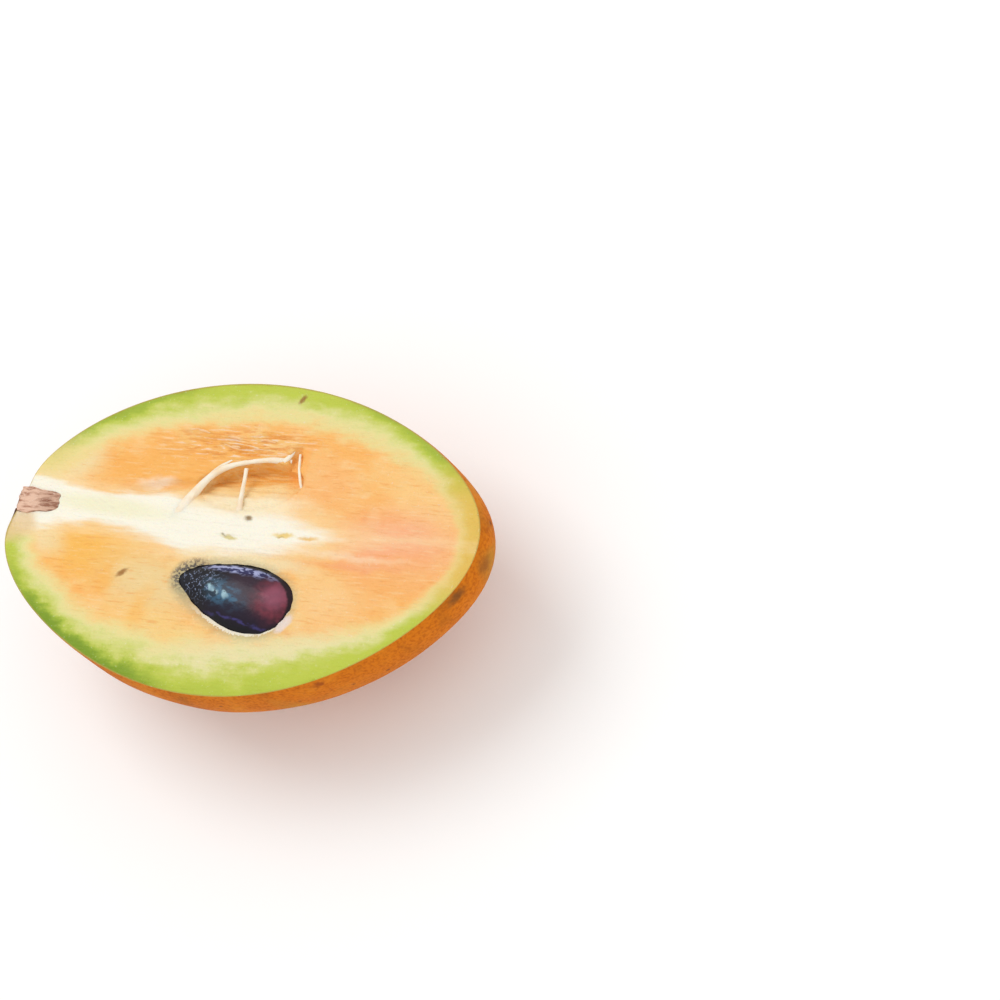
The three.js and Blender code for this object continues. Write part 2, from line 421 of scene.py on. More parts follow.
def stub_form(name, grow, rough):
    bpy.ops.mesh.primitive_uv_sphere_add(
        segments=72, ring_count=90, radius=1, rotation=(0, math.radians(90), 0)
    )
    stub = bpy.context.object
    stub.name = name
    settle(stub)
    ball = points_of(stub)
    along = ball[:, 0]
    round_end = np.maximum(np.hypot(ball[:, 1], ball[:, 2]), 1e-6)
    blunt = np.minimum(round_end * 2.6, 1) ** 0.6
    share = (along + 1) / 2
    profile = STALK_RADIUS * np.interp(share, *zip(*STUB_PROFILE))
    radius = profile * blunt + grow * np.minimum(round_end * 4, 1)
    places = np.column_stack((
        STALK_END_X + share * STALK_LENGTH + grow * np.sign(along) * np.minimum(np.abs(along) * 4, 1),
        ball[:, 1] / round_end * radius,
        ball[:, 2] / round_end * radius,
    ))
    places[:, 0] += INNER_END_RAGGED * grain(places, (9, 0.55, 0.55), seed=13) * smooth(0.75, 1, share)
    bark = rough * (grain(places, (2.4, 0.5, 0.5), seed=5) + 0.5 * grain(places, (0.6, 0.6, 0.6), seed=9))
    places += bark[:, None] * ball
    places += np.array((0, STALK_Y, FACE_Z))
    move_points(stub, places * MM)
    return stub


stub = stub_form("stalk_stub", -0.02, 0.16)
pick(stub)
bpy.ops.object.mode_set(mode="EDIT")
bpy.ops.mesh.select_all(action="SELECT")
bpy.ops.mesh.bisect(
    plane_co=(0, 0, (FACE_Z + CUT_ABOVE_FLESH) * MM), plane_no=(0, 0, 1), use_fill=True, clear_outer=True
)
bpy.ops.mesh.select_all(action="DESELECT")
bpy.ops.object.mode_set(mode="OBJECT")
print("stub:", len(stub.data.polygons), "faces")

# %% [markdown]
# ## Pressing the seed and the stalk into the flesh
#
# A Boolean modifier takes a roughened copy of the seed, and one of the stalk, out of the fruit. The flesh
# then closes round both as it does in life, with a thin torn edge, which a formula on the cut face could
# never give, because the flesh leans over the seed. The copies are removed afterwards.

# %% Beds for the seed and the stalk
seed_bed = seed_form("seed_bed", 0.1, 0.16, 120, 80)
stalk_bed = stub_form("stalk_bed", 0.02, 0.05)
for bed in (seed_bed, stalk_bed):
    press = fruit_half.modifiers.new("press " + bed.name, "BOOLEAN")
    press.operation = "DIFFERENCE"
    press.solver = "MANIFOLD"
    press.object = bed
apply_modifiers(fruit_half)
for bed in (seed_bed, stalk_bed):
    bpy.data.objects.remove(bed)
print("fruit half with its beds:", len(fruit_half.data.polygons), "faces")

# %% [markdown]
# ## The torn strands
#
# Where a seed has fallen out, strings of the pale core span its empty cell, and threads of torn flesh lie
# along its upper lip. Each is a curve with a round bevel whose thickness is set point by point, broad
# where it is rooted and thin in between. The curves are made meshes, roughened a little, and joined to
# the fruit half, which they grow from. The fine threads are drawn by lot from a fixed seed number, so
# that they always come out the same.

# %% Strands
STRANDS = (
    ((-11.2, 2.4, -1.1, 1.2), (-10.0, 4.0, -0.45, 1.1), (-8.8, 6.2, -0.05, 0.78), (-7.3, 8.7, 0.05, 0.52),
     (-5.4, 10.8, 0.05, 0.54), (-2.4, 12.1, 0.0, 0.38), (0.8, 12.8, 0.0, 0.36), (3.0, 13.1, -0.1, 0.52),
     (4.6, 13.4, -0.4, 0.5), (6.0, 13.5, -1.0, 0.4)),
    ((-0.2, 1.8, -1.2, 0.95), (-0.4, 3.8, -0.6, 0.75), (-0.5, 5.4, -0.2, 0.42), (-0.6, 7.5, -0.1, 0.34),
     (-0.8, 10.0, -0.2, 0.32), (-0.95, 11.4, -0.2, 0.34)),
    ((-6.9, 9.3, -0.3, 0.5), (-6.0, 10.9, 0.0, 0.42), (-4.4, 12.3, -0.1, 0.36), (-2.2, 13.2, -0.6, 0.25)),
    ((5.0, 13.2, -0.5, 0.5), (5.9, 14.0, -0.25, 0.34), (6.3, 15.2, -0.5, 0.24), (6.5, 16.2, -1.0, 0.2)),
    ((7.3, 14.6, -0.6, 0.2), (7.7, 12.8, -0.2, 0.26), (8.1, 11.0, -0.2, 0.24), (9.0, 8.8, -0.8, 0.2)),
)


def strand(points, rough=0.08):
    bpy.ops.curve.primitive_nurbs_path_add()
    path = bpy.context.object
    path.data.splines.clear()
    line = path.data.splines.new("NURBS")
    line.points.add(len(points) - 1)
    for point, (x, y, z, radius) in zip(line.points, points):
        point.co = (x * MM, y * MM, (FACE_Z + z) * MM, 1)
        point.radius = radius
    line.order_u = 4
    line.use_endpoint_u = True
    line.resolution_u = 8
    path.data.bevel_depth = MM
    path.data.bevel_resolution = 2
    path.data.use_fill_caps = True
    bpy.ops.object.convert(target="MESH")
    string = bpy.context.object
    places = points_of(string) / MM
    places += rough * grain(places, (1.6, 1.6, 0.8), seed=4)[:, None]
    move_points(string, places * MM)
    return string


THREAD_POINTS = ((0, -0.5, 0.2), (0.3, -0.04, 0.24), (0.7, -0.04, 0.22), (1, -0.5, 0.2))


def torn_thread(lot):
    """A fine thread that lies on the torn flesh above the empty cell, nearly lengthwise."""
    x, y = lot.uniform(-13, 3), lot.uniform(13.4, 17.2)
    length, slant = lot.uniform(2, 5), lot.uniform(-0.2, 0.25)
    ground = float(relief(np.array([[x + length / 2, y + slant * length / 2, FACE_Z]]))[0])
    return tuple(
        (
            x + share * length,
            y + slant * share * length + lot.uniform(-0.15, 0.15),
            ground + height,
            radius,
        )
        for share, height, radius in THREAD_POINTS
    )


lot = np.random.default_rng(5)
strings = [strand(points) for points in STRANDS]
threads = [strand(torn_thread(lot), rough=0.14) for _ in range(9)]
print("strands:", len(strings), "threads:", len(threads))

# %% [markdown]
# ## Sepals
#
# A sepal is a small leaf-shaped grid that follows the skin outwards from the stalk, with a midrib, and
# Solidify gives it its thickness. To follow the skin, the formula has to find it first: `skin_x` halves
# an interval until it closes on the skin of the stalk end.

# %% Sepals
SEPAL_ANGLES = (-142, -94, -50)
SEPAL_LENGTH = 5.4
SEPAL_HALF_WIDTH = 1.7
SEPAL_CURL = 0.6


def skin_x(y, z):
    low, high = np.full_like(y, -1.0), np.zeros_like(y)
    for _ in range(40):
        along = (low + high) / 2
        across = (y - midline(along)) / (WIDTH / 2 * taper(along))
        down = (z - FACE_Z) / (DEPTH * taper(along))
        outside = across**2 + down**2 > 1 - along**2
        low, high = np.where(outside, along, low), np.where(outside, high, along)
    x = low * LENGTH / 2
    return x + shoulder(x, y, z)


def sepal(index, angle):
    bpy.ops.mesh.primitive_grid_add(x_subdivisions=30, y_subdivisions=16, size=1)
    blade = bpy.context.object
    blade.name = f"sepal_{index}"
    grid = points_of(blade)
    along, side = grid[:, 0] + 0.5, 2 * grid[:, 1]
    c, s = math.cos(math.radians(angle)), math.sin(math.radians(angle))
    outwards = STALK_RADIUS * 0.6 + along * SEPAL_LENGTH
    narrowing = np.sin(np.pi * (0.18 + 0.82 * along)) ** 0.8
    ragged = 1 + 0.14 * np.sin(9 * along + 2 * index) * side
    sideways = side * SEPAL_HALF_WIDTH * (0.08 + 0.92 * narrowing) * ragged
    y = STALK_Y + outwards * c - sideways * s
    z = FACE_Z + outwards * s + sideways * c
    curl = SEPAL_CURL * (0.7 + 0.35 * index) * along**3
    midrib = 0.16 * np.exp(-((side / 0.2) ** 2)) * (1 - along)
    lift = 0.3 + curl + 0.3 * (1 - side**2) * along + 0.06 * np.sin(14 * side + 3 * along) + midrib
    move_points(blade, np.column_stack((skin_x(y, z) - lift, y, z)) * MM)
    thickness = blade.modifiers.new("thickness", "SOLIDIFY")
    thickness.thickness = 0.36 * MM
    thickness.offset = 0
    softness = blade.modifiers.new("softness", "SUBSURF")
    softness.levels = softness.render_levels = 1
    apply_modifiers(blade)
    return blade


sepals = [sepal(index, angle) for index, angle in enumerate(SEPAL_ANGLES)]
print("sepals:", len(sepals))

# %% [markdown]
# ## Materials as plain arithmetic
#
# A material is a recipe: where the green ends, where the orange glows, how ragged the border is. `Wire`
# holds one socket of a node and turns Python arithmetic into Math nodes, so the recipe can be read as a
# formula. `Finish` is a material with one method that adds a node, and a few short names for the nodes
# used most. It starts as one colour, and `paint` covers that colour bit by bit.
#
# The light is stronger than is needed for white, so that the paper round the fruit comes out white.
# `colour` makes each colour darker by the same surplus, so that it looks as it is written.


# %% Wire and Finish
LIGHT_SURPLUS = 1.12


def colour(code):
    """The linear colour that looks like a web colour such as #f6c27a under this scene's bright light."""
    parts = [int(code[i : i + 2], 16) / 255 for i in (1, 3, 5)]
    linear = [p / 12.92 if p <= 0.04045 else ((p + 0.055) / 1.055) ** 2.4 for p in parts]
    return tuple(p / LIGHT_SURPLUS for p in linear) + (1.0,)


class Wire:
    def __init__(self, finish, socket):
        self.finish = finish
        self.socket = socket

    def maths(self, operation, first, second):
        return self.finish.node("ShaderNodeMath", {"operation": operation}, {0: first, 1: second})

    def __add__(self, other):
        return self.maths("ADD", self, other)

    def __radd__(self, other):
        return self.maths("ADD", self, other)

    def __sub__(self, other):
        return self.maths("SUBTRACT", self, other)

    def __rsub__(self, other):
        return self.maths("SUBTRACT", other, self)

    def __mul__(self, other):
        return self.maths("MULTIPLY", self, other)


class Finish:
    def __init__(self, name, ground="#ffffff"):
        self.material = bpy.data.materials.new(name)
        self.material.use_nodes = True
        self.tree = self.material.node_tree
        self.shader = self.tree.nodes["Principled BSDF"]
        self.colour = ground
        object_places = self.node("ShaderNodeTexCoord", {}, {}, out="Object")
        self.place = self.node("ShaderNodeMapping", {}, {"Vector": object_places, "Scale": (1 / MM,) * 3})

    def node(self, kind, settings, sockets, out=0):
        node = self.tree.nodes.new(kind)
        for name, value in settings.items():
            setattr(node, name, value)
        for name, value in sockets.items():
            self.plug(node.inputs[name], value)
        return Wire(self, node.outputs[out])

    def plug(self, socket, value):
        if isinstance(value, Wire):
            self.tree.links.new(value.socket, socket)
        else:
            socket.default_value = value

    def set(self, **sockets):
        for name, value in sockets.items():
            self.plug(self.shader.inputs[name.replace("_", " ")], value)

    def noise(self, size, detail=2.0, stretch=(1, 1, 1), shift=0.0, out="Fac"):
        """Cloudy noise, 0 to 1, with clouds of about this size in millimetres."""
        scale = tuple(1 / s for s in stretch)
        sockets = {"Vector": self.place, "Location": (shift,) * 3, "Scale": scale}
        scaled = self.node("ShaderNodeMapping", {}, sockets)
        sockets = {"Vector": scaled, "Scale": 1 / size, "Detail": detail}
        return self.node("ShaderNodeTexNoise", {}, sockets, out=out)

    def step(self, value, low, high):
        """0 below low and 1 above high, with a soft step between."""
        sockets = {"Value": value, "From Min": low, "From Max": high}
        return self.node("ShaderNodeMapRange", {"interpolation_type": "SMOOTHSTEP"}, sockets)

    def shaken(self, amount, size, shift=0.0):
        """The place, pushed about by up to half of amount."""
        cloud = self.noise(size, detail=3, shift=shift, out="Color")
        sockets = {0: cloud, 1: (amount,) * 3, 2: (-amount / 2,) * 3}
        push = self.node("ShaderNodeVectorMath", {"operation": "MULTIPLY_ADD"}, sockets)
        return self.node("ShaderNodeVectorMath", {"operation": "ADD"}, {0: self.place, 1: push})

    def patch(self, at, a, b, turn=0.0, edge=0.35, place=None, z=FACE_Z, c=1000.0):
        """1 inside an oval of half-lengths a and b on the cut face, falling to 0 across its edge."""
        sockets = {
            "Vector": place or self.place,
            "Location": (at[0], at[1], z),
            "Rotation": (0, 0, math.radians(turn)),
            "Scale": (a, b, c),
        }
        oval = self.node("ShaderNodeMapping", {"vector_type": "TEXTURE"}, sockets)
        out = self.node("ShaderNodeVectorMath", {"operation": "LENGTH"}, {0: oval}, out="Value")
        return 1 - self.step(out, 1 - edge, 1 + edge)

    def attribute(self, name):
        return self.node("ShaderNodeAttribute", {"attribute_name": name}, {}, out="Fac")

    def paint(self, code, share):
        """Covers the colour so far with another one, wholly where share is 1."""
        under = colour(self.colour) if isinstance(self.colour, str) else self.colour
        sockets = {0: share, 6: under, 7: colour(code)}
        self.colour = self.node("ShaderNodeMix", {"data_type": "RGBA"}, sockets, out=2)

    def bump(self, height, depth):
        """A relief of this depth in millimetres, as a normal."""
        sockets = {"Height": height, "Distance": depth * MM, "Strength": 1.0}
        return self.node("ShaderNodeBump", {}, sockets, out="Normal")


# %% [markdown]
# ## Flesh
#
# The colours of the cut face follow how the fruit grows. Under the skin lies a green band, which fades to
# yellow. The ripest flesh, on both sides of the core and towards the tip, is orange. The core is cream.
# How far each point of the mesh is from the skin, the seed and the edge of the core is worked out once
# and kept in attributes. Everything else is oval patches in millimetres. All borders are shaken by noise
# that is drawn out lengthwise, as the fibres of the fruit are.

# %% Distances kept on the mesh
def ripe_from(x, y):
    """How deep under the skin the flesh is fully ripe, in millimetres."""
    unripe = 1.8 * patch(x, y, (-8, 25), 24, 10, edge=0.6) + 4.6 * patch(x, y, (6, -22), 20, 11, edge=0.6)
    unripe = unripe + 1.6 * patch(x, y, (-24, -17), 13, 8, turn=-30, edge=0.6)
    riper = 2.4 * patch(x, y, (40, 0), 13, 14, edge=0.7) + patch(x, y, (-36, -4), 10, 10, edge=0.7)
    return 6.0 + unripe - riper


fruit_half.data.materials.clear()
places = points_of(fruit_half) / MM
face_x, face_y = places[:, 0], places[:, 1]
distances = {
    "rim": from_rim(face_x, face_y),
    "ripe": from_rim(face_x, face_y) / ripe_from(face_x, face_y),
    "core": inside_core(face_x, face_y) - 4.5 * smooth(3, 22, face_x),
    "beside_seed": beside_seed(face_x, face_y),
    "hollow": (FACE_Z - places[:, 2]) * cell_share(face_x, face_y, 0),
    "under_lip": under_lip(face_x, face_y) * cell_share(face_x, face_y, 0),
}
for name, values in distances.items():
    kept = fruit_half.data.attributes.new(name, "FLOAT", "POINT")
    kept.data.foreach_set("value", np.ascontiguousarray(values, dtype=np.float32))
print("kept on the mesh:", ", ".join(distances))

# %% Flesh: fibres and clouds
flesh = Finish("ripe_flesh", "#fdba62")
ragged = flesh.shaken(3.2, 4.5)
fray = flesh.noise(0.9, detail=4, stretch=(6, 1, 1)) - 0.5
thread = flesh.noise(0.4, detail=3, stretch=(8, 1, 1), shift=33)
cloud = flesh.noise(5, detail=3, shift=20) - 0.5
grit = flesh.noise(0.4, detail=4)

# %% Flesh: orange
blotches = flesh.noise(2.4, detail=3, stretch=(1.6, 1, 1), shift=55)
flesh.paint("#fbc878", flesh.step(cloud, -0.05, 0.2))
flesh.paint("#fdd290", flesh.step(blotches, 0.5, 0.68) * 0.6)
flesh.paint("#f9a845", (1 - flesh.step(blotches, 0.32, 0.48)) * 0.55)
ORANGE_TINTS = (
    ((-16, 9.5), 13, 4.5, 12, "#fbb455", 0.8),
    ((-24, -4), 10, 4.5, -8, "#fbbd52", 0.9),
    ((-12, -9), 8, 4.5, -15, "#f0d293", 0.9),
    ((-9, -16), 9, 3.0, -14, "#fad283", 0.8),
    ((29, 8.6), 9, 3.6, -35, "#fdcf86", 0.8),
    ((27, 0.6), 9, 5.5, 0, "#fcac86", 0.75),
    ((25, -6), 8, 3.6, 20, "#fcb768", 0.8),
    ((12, 9.5), 7, 4.5, -10, "#fdbd7a", 0.6),
    ((17, -9), 6, 4.0, -10, "#fcd190", 0.7),
    ((-20, -8.8), 3.5, 1.4, 70, "#fcb23e", 0.5),
    ((-12.8, -13.6), 3.5, 1.5, 75, "#fcb749", 0.5),
    ((-17, 6.9), 6, 1.3, 8, "#f9a23c", 0.6),
    ((-31.5, 10.2), 5.5, 4.0, 40, "#f3e1aa", 0.85),
    ((-33, -2.8), 4.0, 2.4, -20, "#f4e2b0", 0.7),
    ((-15.4, 7.9), 2.6, 0.8, 10, "#fee6cf", 0.8),
)
for at, a, b, turn, tint, share in ORANGE_TINTS:
    spread = flesh.patch(at, a, b, turn=turn, edge=0.7, place=ragged)
    flesh.paint(tint, spread * share)
flesh.paint("#ee9a40", flesh.step(thread, 0.57, 0.72) * 0.45)
flesh.paint("#ffe0ac", (1 - flesh.step(thread, 0.3, 0.45)) * 0.28)

# %% Flesh: green under the skin
uneven = flesh.noise(1.8, detail=2, stretch=(1.8, 1, 1), shift=70) - 0.5
ripe = flesh.attribute("ripe") + cloud * 0.45 + uneven * 0.4 + fray * 0.3 + (grit - 0.5) * 0.15
yellow_ends = flesh.patch((-37, 10), 8, 7, edge=0.7) * 0.8 + flesh.patch((40, 1), 7, 8, edge=0.7) * 0.6
green_share = 1 - yellow_ends
DEEP_GREEN = (
    ((-22, -19.5), 15, 6, -32, 1.0),
    ((2, -27), 20, 5, 0, 0.12),
    ((-24, 21), 12, 6, 30, 0.4),
    ((26, 19), 12, 6, -38, 0.3),
)
deep_share = sum(flesh.patch(at, a, b, turn=turn, edge=0.6) * share for at, a, b, turn, share in DEEP_GREEN)
flesh.paint("#f4d78c", (1 - flesh.step(ripe, 0.66, 1.12)) * 0.9)
flesh.paint("#e9e29a", (1 - flesh.step(ripe, 0.42, 0.95)) * green_share)
flesh.paint("#c1cd42", (1 - flesh.step(ripe, 0.14, 0.66)) * green_share)
flesh.paint("#94b022", (1 - flesh.step(ripe, 0.08, 0.38)) * deep_share * 0.85)
flesh.paint("#7d9c0a", (1 - flesh.step(ripe, 0.02, 0.24)) * deep_share)

yellow_tip = flesh.patch((38, 3), 10, 10, edge=0.6) * (1 - flesh.step(ripe, 0.3, 1.0))
flesh.paint("#e8bd50", yellow_tip * 0.9)
pale_side = flesh.patch((9, -19.5), 18, 4.0, turn=10, edge=0.6, place=ragged)
flesh.paint("#efe6be", pale_side * flesh.step(ripe, 0.3, 0.6) * 0.45)

# %% Flesh: cream core
core = flesh.attribute("core") + fray * 2.6 + cloud * 0.8
core = core * (1 - flesh.patch((6, 2), 15, 7, edge=0.6) * 0.5)
flesh.paint("#fddfa8", flesh.step(core, -3.4, -0.2) * 0.6)
flesh.paint("#fdf7e4", flesh.step(core, -0.9, 0.9))
below_stalk = flesh.patch((-38, -1.2), 3.2, 2.6, edge=0.5, place=ragged)
flesh.paint("#e9c893", below_stalk * 0.8)
core_middle = flesh.patch((-22.5, 3.0), 10, 1.5, turn=-3, edge=0.6)
flesh.paint("#f1ecbf", core_middle * 0.6)
pale_streak = flesh.patch((18, -1.6), 10, 0.5, turn=-2, edge=0.8, place=ragged)
flesh.paint("#fee3bd", pale_streak * 0.5)
peach_streak = flesh.patch((21, -3.0), 8, 0.5, turn=1, edge=0.8, place=ragged)
flesh.paint("#f8a878", peach_streak * 0.4)

# %% Flesh: torn cell and the rim of the seed
above_seed = flesh.patch((4, -4.1), 10, 1.3, turn=-2, edge=0.6, place=ragged)
flesh.paint("#f5e3b4", above_seed * 0.7)
torn = flesh.patch(**TORN_FLESH, edge=0.6, place=ragged)
flesh.paint("#ea9440", torn * flesh.step(thread + fray * 0.4, 0.5, 0.64) * 0.75)
flesh.paint("#fde3cb", torn * (1 - flesh.step(thread, 0.34, 0.46)) * 0.8)
# Pale flesh in the empty cell, partly its own colour and partly painted light: the deeper the hollow, the
# paler, against its shade.
flesh.paint("#fdd898", flesh.step(flesh.attribute("hollow"), 0.2, 1.1) * 0.85)
core_side = flesh.patch((0.5, 5.6), 8.5, 1.7, turn=4, edge=0.6, place=ragged)
flesh.paint("#fef0cc", core_side * 0.8)
# Painted shade: deeper orange under the upper lip of the empty cell, which shades the hollow below it.
lip_shade = flesh.step(flesh.attribute("under_lip") + fray * 0.8, 0.25, 0.8)
flesh.paint("#f9ab3c", lip_shade * (0.5 + flesh.step(thread, 0.45, 0.6) * 0.35))
notch_flesh = flesh.patch((7.2, 12.4), 1.9, 3.6, turn=-6, edge=0.5, place=ragged)
flesh.paint("#ffb45a", notch_flesh * 0.9)

beside = flesh.attribute("beside_seed") + fray * 0.6 + (grit - 0.5) * 1.4
halo = (1 - flesh.step(beside, 0.2, 1.9)) * (0.4 + flesh.patch((-5.2, -7.2), 3.6, 3.6, edge=0.6) * 0.3)
flesh.paint("#a3a384", halo)
narrow_end = flesh.patch((-5.6, -6.9), 2.6, 2.4, turn=30, edge=0.5, place=ragged)
flecks = narrow_end * flesh.step(grit, 0.44, 0.54) * (1 - flesh.step(beside, 0.9, 2.2))
flesh.paint("#34323f", flecks * 0.85)
pale_rim = flesh.patch((4.6, -15.4), 9, 3.6, turn=-4, edge=0.5)
pale_rim = pale_rim + flesh.patch((13.4, -8.6), 3.4, 4.6, edge=0.5)
pale_rim = pale_rim * (1 - flesh.step(beside, 0.12, 0.4))
flesh.paint("#fdf3dc", pale_rim * 0.9)
torn_flap = flesh.patch((12.2, -13.3), 1.7, 0.8, turn=52, edge=0.3, place=flesh.shaken(0.7, 0.8))
flesh.paint("#efdcd2", torn_flap * 0.9)

# %% Flesh: specks
SPECKS = (
    ((-17.25, -7.6), 1.0, 0.38, 38, "#a26a22"),
    ((5.65, 23.6), 0.8, 0.36, 55, "#9a6a1f"),
    ((1.85, 3.1), 0.62, 0.4, -10, "#8d6c37"),
    ((-0.5, -0.3), 1.3, 0.3, -10, "#dccb84"),
    ((-1.6, 0.1), 0.5, 0.14, -15, "#b5a98a"),
    ((8.4, 0.8), 1.5, 0.38, 4, "#f2cf74"),
    ((8.0, 0.5), 0.6, 0.14, 10, "#cbb070"),
    ((12.6, 0.7), 1.5, 0.3, 4, "#f4c678"),
)
shaken = flesh.shaken(0.6, 0.7)
for at, a, b, turn, tint in SPECKS:
    speck = flesh.patch(at, a, b, turn=turn, edge=0.6, place=shaken)
    flesh.paint(tint, speck * 0.9)
skin_line = 1 - flesh.step(flesh.attribute("rim") + fray * 0.3, 0.05, 0.3)
flesh.paint("#b39a45", skin_line * 0.8)

# %% Flesh: surface
flesh.paint("#ffffff", flesh.step(grit, 0.62, 0.8) * 0.25)
flesh.set(
    Base_Color=flesh.colour,
    Roughness=0.4 + grit * 0.25,
    Normal=flesh.bump(grit + thread * 1.2, 0.14),
    IOR=1.4,
    Subsurface_Weight=0.12,
    Subsurface_Radius=(1.0, 0.6, 0.3),
    Subsurface_Scale=0.0015,
)

# %% [markdown]
# ## Skin
#
# The skin is dull and orange-brown, like fine suede. It is mottled with darker scurf, dotted with russet
# specks, has a little olive left in it in places, and bears a few small scars.

# %% Skin
skin = Finish("scurfy_skin", "#db790c")
scurf = skin.noise(0.5, detail=5)
blotch = skin.noise(7, detail=4, shift=40)
skin.paint("#b65806", skin.step(scurf, 0.38, 0.74) * 0.8)
skin.paint("#ea9222", skin.step(blotch, 0.5, 0.74) * 0.6)
skin.paint("#98560e", (1 - skin.step(blotch, 0.26, 0.46)) * 0.5)
olive = skin.noise(11, detail=2, shift=80)
skin.paint("#a98a34", skin.step(olive, 0.56, 0.76) * 0.5)
dot_cells = {"Vector": skin.shaken(0.5, 0.6), "Scale": 1 / 3.1}
dots = skin.node("ShaderNodeTexVoronoi", {}, dot_cells, out="Distance")
dot_share = (1 - skin.step(dots, 0.06, 0.17)) * skin.step(skin.noise(9, detail=2, shift=15), 0.42, 0.62)
skin.paint("#77391a", dot_share * 0.8)
SKIN_SPOTS = (
    ((37.8, -5.7, 25.4), 1.7, 0.8, "#6b4420"),
    ((40.3, 0.2, 24.0), 1.3, 1.1, "#96551c"),
    ((19.5, -21.4, 25.4), 0.8, 0.6, "#8f3d12"),
    ((-39.2, -2.8, 25.9), 0.9, 0.8, "#6a4522"),
    ((-20.0, 22.5, 21.0), 1.6, 1.0, "#8a4c1a"),
    ((8.0, 24.0, 14.0), 1.2, 1.4, "#7d4518"),
)
worn = skin.shaken(1.4, 0.9)
for (x, y, z), long, high, tint in SKIN_SPOTS:
    spot = skin.patch((x, y), long, long, edge=0.8, place=worn, z=z, c=high)
    skin.paint(tint, spot * 0.75)
skin.set(
    Base_Color=skin.colour,
    Roughness=0.6 + scurf * 0.25,
    Normal=skin.bump(scurf + blotch * 0.6 - dot_share * 0.5, 0.12),
    Specular_IOR_Level=0.12,
)

# %% Skin and flesh on the fruit half
fruit_half.data.materials.append(skin.material)
fruit_half.data.materials.append(flesh.material)
centres = np.empty(len(fruit_half.data.polygons) * 3)
normals = np.empty(len(fruit_half.data.polygons) * 3)
fruit_half.data.polygons.foreach_get("center", centres)
fruit_half.data.polygons.foreach_get("normal", normals)
centres = centres.reshape(-1, 3) / MM
along = (centres[:, 0] - shoulder(*centres.T)) / (LENGTH / 2)
across = (centres[:, 1] - midline(along)) / (WIDTH / 2 * taper(along))
down = (centres[:, 2] - FACE_Z) / (DEPTH * taper(along))
is_skin = (np.sqrt(along**2 + across**2 + down**2) > 0.97) & (normals[2::3] < 0.5)
fruit_half.data.polygons.foreach_set("material_index", np.where(is_skin, 0, 1).astype(np.int32))
print("skin faces:", int(is_skin.sum()), "flesh faces:", int((~is_skin).sum()))

# %% Strand material
def fibre_finish(name, pale, dark):
    fibre = Finish(name, pale)
    fibre.paint(dark, fibre.step(fibre.noise(2.2, detail=3), 0.4, 0.75) * 0.6)
    fibre.set(
        Base_Color=fibre.colour,
        Roughness=0.55,
        Specular_IOR_Level=0.25,
        Normal=fibre.bump(fibre.noise(0.3, detail=3), 0.08),
        Subsurface_Weight=0.1,
        Subsurface_Radius=(1.0, 0.7, 0.4),
        Subsurface_Scale=0.0003,
    )
    return fibre.material


for pieces, finish in (
    (strings, fibre_finish("core_fibre", "#fff4de", "#fad7a8")),
    (threads, fibre_finish("torn_fibre", "#ffd09a", "#f0a052")),
):
    for piece in pieces:
        piece.data.materials.clear()
        piece.data.materials.append(finish)

# %% [markdown]
# ## Seed coat
#
# The coat is nearly black and polished, maroon towards the blunt end. Painted into its colour are a
# blue-green reflection in the middle, lilac highlights in dashes along its upper edge, a net of pale
# glints at its narrow end and a dark line of shade round its edge.

# %% Seed coat
coat_places = points_of(seed) / MM
kept = seed.data.attributes.new("from_edge", "FLOAT", "POINT")
kept.data.foreach_set("value", (-beside_seed(coat_places[:, 0], coat_places[:, 1])).astype(np.float32))

coat = Finish("polished_seed_coat", "#09080f")
wander = coat.shaken(1.4, 1.6)
wet = coat.noise(0.8, detail=3, stretch=(1.6, 1, 1))
fine = coat.noise(0.4, detail=3)
plum = coat.patch((6.0, -9.0), 4.5, 3.0, turn=-21, edge=0.6, place=wander)
coat.paint("#33202f", plum)
maroon = coat.patch((10.4, -9.9), 3.3, 3.6, turn=-21, edge=0.5, place=wander)
coat.paint("#77303f", maroon * (0.5 + coat.step(wet, 0.35, 0.65) * 0.5))
blush = coat.patch((10.2, -9.2), 1.7, 2.0, turn=-21, edge=0.7, place=wander)
coat.paint("#98556a", blush * 0.7)
# Painted reflection: a blue-green gleam of the sky on the polished coat, strongest where the coat is wet.
painted_reflection = coat.patch((1.6, -9.9), 3.6, 1.8, turn=-21, edge=0.6, place=wander)
coat.paint("#3a6480", painted_reflection * (0.25 + coat.step(wet, 0.42, 0.6) * 0.75))
# Painted highlights: small pale glints on the wet coat.
for glint_at in ((0.3, -9.6), (1.9, -9.9), (-0.7, -8.9)):
    glint = coat.patch(glint_at, 0.6, 0.32, turn=-50, edge=0.7, place=wander)
    coat.paint("#a9cdd8", glint * coat.step(wet, 0.4, 0.5) * 0.8)
low_side = coat.patch((5.0, -13.0), 6.5, 1.3, turn=-12, edge=0.5, place=wander)
coat.paint("#24142c", low_side * 0.6)
violet = coat.patch((5.0, -13.8), 5.2, 0.26, turn=-11, edge=0.7, place=wander)
coat.paint("#4a4488", violet * coat.step(wet, 0.35, 0.55) * 0.6)
# Painted reflection: a dark blue band along the upper edge, with lilac highlights in dashes on it.
edge_reflection = coat.patch((2.6, -5.5), 6.6, 0.75, turn=-6, edge=0.6, place=wander)
reflection_dashes = coat.step(coat.noise(0.5, detail=2, stretch=(2.2, 1, 1), shift=12), 0.46, 0.54)
coat.paint("#31366e", edge_reflection * 0.7)
coat.paint("#b3b9e2", edge_reflection * reflection_dashes * 0.85)
